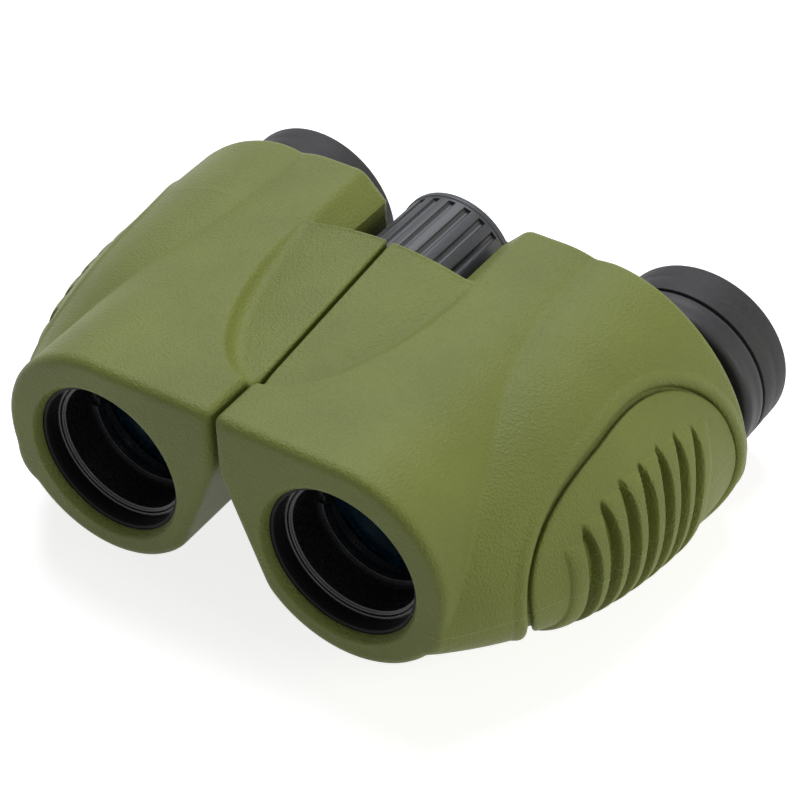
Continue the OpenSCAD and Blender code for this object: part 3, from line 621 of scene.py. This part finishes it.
def inlay_points():
    """The fingers' side, from the middle out to the edge."""
    out = []
    for rho in 1 - (1 - np.linspace(0, 1, INLAY_ROWS)) ** INLAY_CROWDING:
        y, w = oval(THETA, rho, -GAPS)
        p, face = flank_at(y, w)
        from_edge = (1 - rho) * GRIP_H
        short = max(INLAY_EDGE_R - from_edge, 0)
        rim = INLAY_EDGE_R - math.sqrt(INLAY_EDGE_R ** 2 - short ** 2)
        hollow = DISH * float(ease(0.0, 1.0, 1.0 - from_edge / DISH_RUN))
        out.append(p - (groove_depth(y, w) + rim + hollow)[:, None] * face)
    return np.array(out)


def inlay_back():
    """The side that lies in the pocket, from the edge back to the middle."""
    out = []
    for rho in np.linspace(1, 0, INLAY_BACK_ROWS):
        p, face = flank_at(*oval(THETA, rho, -GAPS))
        out.append(p - INLAY_BACK * face)
    return np.array(out)


inlay_grid = np.vstack([inlay_points(), inlay_back()])
inlays = {name: closed_grid("grip_inlay_" + name, inlay_grid, side) for name, side in SIDES.items()}
for name, piece in inlays.items():
    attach(piece, name + "_half")
    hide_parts("grip_panel_" + name)
    print(piece.name, len(piece.data.polygons), "faces")

# %% [markdown]
# Turned parts are spun: a profile is drawn as a chain of edges in edit mode and spun round its axis. The
# eyecup is soft rubber with a rolled rim and a faint hollow where it folds.

# %% Spun pieces
SPIN_STEPS = 128
EYE_X, EYE_Z = EYEPIECE[0], AXIS_Z + EYEPIECE[1]
CUP_R, CUP_FRONT, CUP_END, CUP_RIM_R = 14.75, 70.96, 78.4, 0.85
CUP_BORE_R = CUP_R - 1.3


def spun(name, profile, side):
    """Piece turned round an eyepiece's axis. The profile is a closed loop of (radius, depth)."""
    bpy.ops.object.select_all(action="DESELECT")
    bpy.ops.mesh.primitive_circle_add(vertices=len(profile), radius=1, location=(0, 0, 0))
    piece = bpy.context.object
    piece.name = name
    x, z = side * EYE_X, EYE_Z
    for v, (r, depth) in zip(piece.data.vertices, profile):
        v.co = Vector((x + r, FRONT_Y + depth, z)) * MM
    bpy.ops.object.mode_set(mode="EDIT")
    bpy.ops.mesh.select_all(action="SELECT")
    centre = (x * MM, 0, z * MM)
    bpy.ops.mesh.spin(steps=SPIN_STEPS, dupli=False, angle=2 * math.pi, center=centre, axis=(0, 1, 0))
    bpy.ops.mesh.select_all(action="SELECT")
    bpy.ops.mesh.remove_doubles(threshold=2e-7)
    bpy.ops.mesh.normals_make_consistent(inside=False)
    bpy.ops.object.mode_set(mode="OBJECT")
    bpy.ops.object.shade_smooth_by_angle(angle=math.radians(40))
    piece.select_set(False)
    return piece


def arc(centre_r, centre_depth, r, degrees):
    return [(centre_r + r * math.cos(a), centre_depth + r * math.sin(a)) for a in np.radians(degrees)]


def faint_hollow(depth, width, sink):
    steps = ((-1, 0), (-1 / 3, 0.6), (0, 1), (1 / 3, 0.6), (1, 0))
    return [(CUP_R - sink * down, depth + width * along) for along, down in steps]


cup_profile = [(CUP_BORE_R, CUP_FRONT), (CUP_R - 0.14, CUP_FRONT)]
cup_profile += [(CUP_R - 0.04, CUP_FRONT + 0.05), (CUP_R, CUP_FRONT + 0.15)]
cup_profile += faint_hollow(74.6, width=1.1, sink=0.1)
cup_profile += arc(CUP_R - CUP_RIM_R, CUP_END - CUP_RIM_R, CUP_RIM_R, np.linspace(0, 180, 13))
cup_profile += [(CUP_R - 1.8, CUP_END - 1.6), (CUP_R - 1.9, 75.2), (CUP_R - 2.2, 74.5)]
cup_profile += [(CUP_R - 2.2, 74.15), (CUP_BORE_R, 74.1)]
cups = {}
for name, side in SIDES.items():
    cups[name] = spun("eyecup_rubber_" + name, cup_profile, side)
    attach(cups[name], {"left": "left_eyepiece", "right": "right_ocular"}[name])
    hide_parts("eyecup_" + name)
    print(cups[name].name, len(cups[name].data.polygons), "faces")

# %% [markdown]
# The collar ring behind each bridge arm, fixed on the left and turned for the eye strength on the right,
# is the same turned shape: a full round front edge, a plain band and a soft rear edge next to the cup.
# The fixed one meets its cup. The other leaves the gap that the cup needs to move.

# %% Collar rings
COLLAR_FRONT, COLLAR_BORE, COLLAR_EDGE_R = 65.6, 10.46, 1.3
COLLAR_END = {"left": CUP_FRONT - 0.06, "right": 70.4}
RING_OF = {"left": "trim_ring_left", "right": "diopter_ring_right"}


def collar_profile(end):
    edge_r = CUP_R - COLLAR_EDGE_R
    front = arc(edge_r, COLLAR_FRONT + COLLAR_EDGE_R, COLLAR_EDGE_R, [-70, -50, -30, -12, 0])
    dip = ((0.03, 67.6), (0.1, 68.3), (0.1, 68.6), (0.03, 69.1), (0, 69.5))
    band = [(CUP_R - sink, depth) for sink, depth in dip]
    back = [(CUP_R - sink, end - short) for sink, short in ((0.02, 0.3), (0.1, 0.1), (0.25, 0.02), (0.4, 0))]
    return [(COLLAR_BORE, COLLAR_FRONT), (edge_r, COLLAR_FRONT)] + front + band + back + [(COLLAR_BORE, end)]


collars = {}
for name, side in SIDES.items():
    node = RING_OF[name]
    collars[name] = spun(node + "_finished", collar_profile(COLLAR_END[name]), side)
    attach(collars[name], frame["nodes"][node]["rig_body"])
    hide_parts(node)

# %% [markdown]
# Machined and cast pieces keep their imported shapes, but their edges are too sharp for the eye. A merged
# copy of each is planed by limited dissolve and its edges are rounded by a bevel of the width given here.

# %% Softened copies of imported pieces
EDGE_WIDTHS = {
    "focus_wheel": 0.22,
    "bridge_arm_left": 0.45,
    "bridge_arm_right": 0.45,
    "bridge_cap": 0.2,
    "objective_tube_left": 0.22,
    "objective_tube_right": 0.22,
    "lens_ring_left": 0.3,
    "lens_ring_right": 0.3,
    "front_ring_left": 0.2,
    "front_ring_right": 0.2,
}


def softened(node, width):
    """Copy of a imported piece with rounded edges, which then stands for it."""
    source = frame["nodes"][node]
    body = source["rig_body"]
    bpy.ops.object.select_all(action="DESELECT")
    bpy.ops.mesh.primitive_cube_add(size=1)
    piece = bpy.context.object
    piece.data = source.data.copy()
    piece.name = node + "_finished"
    bpy.ops.object.mode_set(mode="EDIT")
    bpy.ops.mesh.select_all(action="SELECT")
    bpy.ops.mesh.remove_doubles(threshold=1e-6)
    bpy.ops.mesh.dissolve_limited(angle_limit=math.radians(1))
    bpy.ops.object.mode_set(mode="OBJECT")
    bevel = piece.modifiers.new("edges", "BEVEL")
    bevel.width = width * MM
    bevel.segments = 2
    bevel.limit_method = "ANGLE"
    bevel.angle_limit = math.radians(34)
    bevel.use_clamp_overlap = True
    bpy.ops.object.modifier_apply(modifier=bevel.name)
    bpy.ops.object.shade_smooth_by_angle(angle=math.radians(36))
    piece.select_set(False)
    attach(piece, body)
    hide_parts(node)
    return piece


FINISHED = {}
for node, width in EDGE_WIDTHS.items():
    FINISHED[node] = softened(node, width)
    print(node, len(FINISHED[node].data.polygons), "faces")

# %% [markdown]
# Materials are built from a few small helpers. Colours are written as sRGB hex, as a maker's colour card
# has them, and turned to linear light once. Every pattern sits in the piece's own space, in metres.

# %% Material helpers
def colour(text):
    value = [int(text[i:i + 2], 16) / 255 for i in (1, 3, 5)]
    return tuple(c / 12.92 if c <= 0.04045 else ((c + 0.055) / 1.055) ** 2.4 for c in value) + (1.0,)


def add(tree, kind, settings=None, links=None):
    """Adds a node, sets its properties and sockets, and links its inputs."""
    node = tree.nodes.new(kind)
    for key, value in (settings or {}).items():
        if isinstance(key, int) or key in node.inputs:
            node.inputs[key].default_value = value
        else:
            setattr(node, key, value)
    for key, source in (links or {}).items():
        tree.links.new(source, node.inputs[key])
    return node


def material(name):
    """New material, its node tree, and the place of each point in the piece's own space."""
    made = bpy.data.materials.new(name)
    made.use_nodes = True
    tree = made.node_tree
    tree.nodes.clear()
    place = add(tree, "ShaderNodeTexCoord")
    return made, tree, place.outputs["Object"]


def surface(tree, socket):
    add(tree, "ShaderNodeOutputMaterial", links={"Surface": socket})


def principled(tree, settings, links):
    surface(tree, add(tree, "ShaderNodeBsdfPrincipled", settings, links).outputs["BSDF"])


def noise(tree, place, scale, detail, roughness=0.5):
    settings = {"Scale": scale, "Detail": detail, "Roughness": roughness}
    return add(tree, "ShaderNodeTexNoise", settings, {"Vector": place}).outputs["Fac"]


def two_tones(tree, pattern, low, high):
    """A pattern turned into colour. Each tone is a place on the pattern and a hex colour."""
    ramp = add(tree, "ShaderNodeValToRGB", links={"Fac": pattern})
    for element, (position, tone) in zip(ramp.color_ramp.elements, (low, high)):
        element.position = position
        element.color = colour(tone)
    return ramp.outputs["Color"]


def spread(tree, pattern, low, high):
    """A pattern turned into a value between low and high."""
    settings = {"To Min": low, "To Max": high}
    return add(tree, "ShaderNodeMapRange", settings, {"Value": pattern}).outputs["Result"]


def bumped(tree, height, strength, depth, links=None):
    settings = {"Strength": strength, "Distance": depth * MM}
    return add(tree, "ShaderNodeBump", settings, {"Height": height, **(links or {})}).outputs["Normal"]


# %% [markdown]
# Olive armour: a soft-touch rubber moulded in a finely grained tool. The grain's cells are under half a
# millimetre and catch the light as a fine leather, broad patches vary the colour a little, and a dusty
# sheen lightens it at grazing angles. Where the two halves of the mould met, a thin pale line runs round.

# %% Olive armour rubber
PARTING_Z, PARTING_HALF, PARTING_END = 0.0153, 0.00003, 0.00014
PATCH_SCALE, CELL_SCALE, GRAIN_SCALE = 60.0, 2500.0, 3400.0


def parting_line(tree, place):
    """1 on the line that the mould leaves, 0 away from it."""
    axes = add(tree, "ShaderNodeSeparateXYZ", links={"Vector": place})
    level = add(tree, "ShaderNodeMath", {"operation": "SUBTRACT", 1: PARTING_Z}, {0: axes.outputs["Z"]})
    off = add(tree, "ShaderNodeMath", {"operation": "ABSOLUTE"}, {0: level.outputs[0]})
    settings = {"From Min": PARTING_HALF, "From Max": PARTING_END, "To Min": 1.0, "To Max": 0.0}
    return add(tree, "ShaderNodeMapRange", settings, {"Value": off.outputs[0]}).outputs["Result"]


def olive_rubber():
    made, tree, place = material("olive soft-touch rubber")
    tint = two_tones(tree, noise(tree, place, PATCH_SCALE, 3.0), (0.3, "#666f28"), (0.7, "#727b32"))
    settings = {"Scale": CELL_SCALE, "feature": "SMOOTH_F1", "Smoothness": 0.4}
    cells = add(tree, "ShaderNodeTexVoronoi", settings, {"Vector": place})
    fine = noise(tree, place, GRAIN_SCALE, 3.0, 0.7)
    links = {"A": cells.outputs["Distance"], "B": fine}
    both = add(tree, "ShaderNodeMix", {"data_type": "FLOAT", "Factor": 0.5}, links)
    grain = bumped(tree, both.outputs["Result"], 1.0, 0.2)
    line = parting_line(tree, place)
    raised = bumped(tree, line, 0.6, 0.1, {"Normal": grain})
    pale = add(tree, "ShaderNodeMath", {"operation": "MULTIPLY", 1: 0.22}, {0: line})
    settings = {"data_type": "RGBA", 7: colour("#a9b07a")}
    lined = add(tree, "ShaderNodeMix", settings, {0: pale.outputs[0], 6: tint})
    settings = {"Sheen Weight": 0.06, "Sheen Roughness": 0.4, "Specular IOR Level": 0.38}
    links = {"Base Color": lined.outputs[2], "Roughness": spread(tree, fine, 0.44, 0.6), "Normal": raised}
    principled(tree, settings, links)
    return made


# %% [markdown]
# Black and charcoal finishes share one recipe: a base colour broken by a fine noise, and a roughness and
# grain that differ between rubber, moulded plastic and painted metal.

# %% Dark finishes
def dark_finish(name, low, high, roughness, grain_scale, grain_strength, shine=0.5):
    made, tree, place = material(name)
    speck = noise(tree, place, grain_scale, 3.0, 0.65)
    links = {
        "Base Color": two_tones(tree, speck, (0.35, low), (0.75, high)),
        "Roughness": spread(tree, speck, roughness - 0.06, roughness + 0.08),
        "Normal": bumped(tree, speck, grain_strength, 0.1),
    }
    principled(tree, {"Specular IOR Level": shine}, links)
    return made


# %% [markdown]
# Bright metal shows fine turning lines, drawn out round its axis. The lenses and prisms are glass with a
# thin coating that throws back teal, and their dark teal-grey tint is painted shade: it darkens each pass
# through the glass, so that the inside of the body looks black.

# %% Metal and glass
TURNING_STRETCH, TURNING_SCALE = (1.0, 14.0, 1.0), 500.0


def turned_metal(name, tone, roughness):
    made, tree, place = material(name)
    stretch = add(tree, "ShaderNodeMapping", {"Scale": TURNING_STRETCH}, {"Vector": place})
    lines = noise(tree, stretch.outputs["Vector"], TURNING_SCALE, 2.0)
    links = {
        "Roughness": spread(tree, lines, roughness - 0.07, roughness + 0.1),
        "Normal": bumped(tree, lines, 0.15, 0.05),
    }
    principled(tree, {"Base Color": colour(tone), "Metallic": 1.0}, links)
    return made


def coated_glass(name, tint, coat):
    made, tree, place = material(name)
    cloud = noise(tree, place, 40.0, 2.0)
    settings = {
        # painted shade: the dark base colour darkens each pass through the glass, so the inside of the body
        # looks black
        "Base Color": colour(tint),
        "Transmission Weight": 1.0,
        "IOR": 1.42,
        "Specular Tint": colour(coat),
    }
    principled(tree, settings, {"Roughness": spread(tree, cloud, 0.01, 0.03)})
    return made


MATERIALS = {
    "armour_rubber": olive_rubber(),
    "eyecup_rubber": dark_finish("black moulded rubber", "#232324", "#343436", 0.6, 1500.0, 0.5, 0.3),
    "wheel_rubber": dark_finish("charcoal rubber", "#2a2c2f", "#3a3d41", 0.48, 2400.0, 0.3),
    "housing_plastic": dark_finish("black moulded plastic", "#161617", "#202022", 0.45, 1500.0, 0.15),
    "ocular_plastic": dark_finish("glossy black plastic", "#0c0c0d", "#141416", 0.22, 1200.0, 0.05),
    "ring_plastic": dark_finish("satin black plastic", "#1f1f21", "#2c2c2f", 0.5, 1600.0, 0.4, 0.35),
    "black_metal": dark_finish("black anodised metal", "#161619", "#212125", 0.27, 1600.0, 0.06),
    "front_ring": dark_finish("matt black plastic", "#0a0a0b", "#121214", 0.55, 1500.0, 0.1, 0.15),
    "bridge_metal": dark_finish("painted die casting", "#1a1b1d", "#27292c", 0.4, 1700.0, 0.2),
    "steel": turned_metal("turned steel", "#b9bbbd", 0.3),
    "spring_steel": turned_metal("spring steel strip", "#c9c7c0", 0.28),
    "nut_brass": turned_metal("turned brass", "#c9a35c", 0.32),
    # the glass tint #56747c is painted shade for the dark inside of the body; #3f9fc4 is the coating's teal
    "coated_glass": coated_glass("coated lens glass with painted shade", "#56747c", "#3f9fc4"),
}
print("materials:", len(MATERIALS))

# %% [markdown]
# Every piece is painted with the material of its slot. The front rings are the one exception: the ring
# that shades the lens is matt, so that it stays darker than the tube behind it.

# %% Painting
SLOT_OF = {part["node"]: part["material_slot"] for part in frame["record"]["subparts"]}


def paint(piece, made):
    piece.data.materials.clear()
    piece.data.materials.append(made)


for node, piece in frame["nodes"].items():
    paint(piece, MATERIALS[SLOT_OF[node]])
for node, piece in FINISHED.items():
    paint(piece, MATERIALS["front_ring" if "front_ring" in node else SLOT_OF[node]])
DRAWN = {
    "armour_rubber": (*armour.values(), *rims.values(), *inlays.values()),
    "eyecup_rubber": cups.values(),
    "ring_plastic": collars.values(),
}
for slot, pieces in DRAWN.items():
    for piece in pieces:
        paint(piece, MATERIALS[slot])
print("painted anew:", len(FINISHED) + sum(len(pieces) for pieces in DRAWN.values()), "pieces")

# %% [markdown]
# A pale floor, a white surround and large soft lamps, as in a product studio. The floor keeps the
# shadow, and the lamps stay at a level at which a colour shows about as it is written. Only rays that
# show the surround itself see it white, so it adds little light of its own.

# %% Floor and light
FLOOR_DROP, FLOOR_SIZE, FLOOR_GLOW = 0.0002, 6, 0.8
SURROUND_LIGHT, SURROUND_SEEN = 0.1, 1.0
WHITE = (1, 1, 1, 1)
CENTRE = (0, 0, 0.02)
LAMPS = (
    ("key above", (-0.25, 0.35, 0.9), 0.6, 7.8, "#f6f8ff"),
    ("right side", (0.9, 0.15, 0.35), 0.6, 3.9, "#fff8e6"),
    ("front glint", (0.5, -0.8, 0.62), 0.14, 0.45, "#ffffff"),
)


def seen_directly(tree):
    """1 for rays from the camera, off a shiny surface or through glass, 0 for all others."""
    rays = add(tree, "ShaderNodeLightPath").outputs
    seen = rays["Is Camera Ray"]
    for kind in ("Is Glossy Ray", "Is Transmission Ray"):
        either = add(tree, "ShaderNodeMath", {"operation": "MAXIMUM"}, {0: seen, 1: rays[kind]})
        seen = either.outputs[0]
    return seen


bpy.ops.mesh.primitive_plane_add(size=FLOOR_SIZE, location=(0, 0, -FLOOR_DROP))
floor = bpy.context.object
floor.name = "floor"
made, tree, _ = material("pale floor")
shader = add(tree, "ShaderNodeBsdfDiffuse", {"Color": colour("#d2d2d2")})
level = add(tree, "ShaderNodeMath", {"operation": "MULTIPLY", 1: FLOOR_GLOW}, {0: seen_directly(tree)})
glow = add(tree, "ShaderNodeEmission", {"Color": WHITE}, {"Strength": level.outputs[0]})
both = add(tree, "ShaderNodeAddShader", links={0: shader.outputs[0], 1: glow.outputs[0]})
surface(tree, both.outputs[0])
paint(floor, made)


def lamp(name, place, size, watts, tone):
    data = bpy.data.lights.new(name, "AREA")
    data.shape = "DISK"
    data.size = size
    data.energy = watts
    data.color = colour(tone)[:3]
    made = bpy.data.objects.new(name, data)
    bpy.context.scene.collection.objects.link(made)
    made.location = place
    made.rotation_euler = (Vector(CENTRE) - Vector(place)).to_track_quat("-Z", "Y").to_euler()


for settings in LAMPS:
    lamp(*settings)
world = bpy.data.worlds.new("studio")
bpy.context.scene.world = world
world.use_nodes = True
tree = world.node_tree
tree.nodes.clear()
dim = add(tree, "ShaderNodeBackground", {"Color": WHITE, "Strength": SURROUND_LIGHT})
bright = add(tree, "ShaderNodeBackground", {"Color": WHITE, "Strength": SURROUND_SEEN})
links = {0: seen_directly(tree), 1: dim.outputs[0], 2: bright.outputs[0]}
mixed = add(tree, "ShaderNodeMixShader", links=links)
add(tree, "ShaderNodeOutputWorld", links={"Surface": mixed.outputs[0]})
bpy.context.scene.view_settings.view_transform = "Standard"
print("lamps:", len(LAMPS))
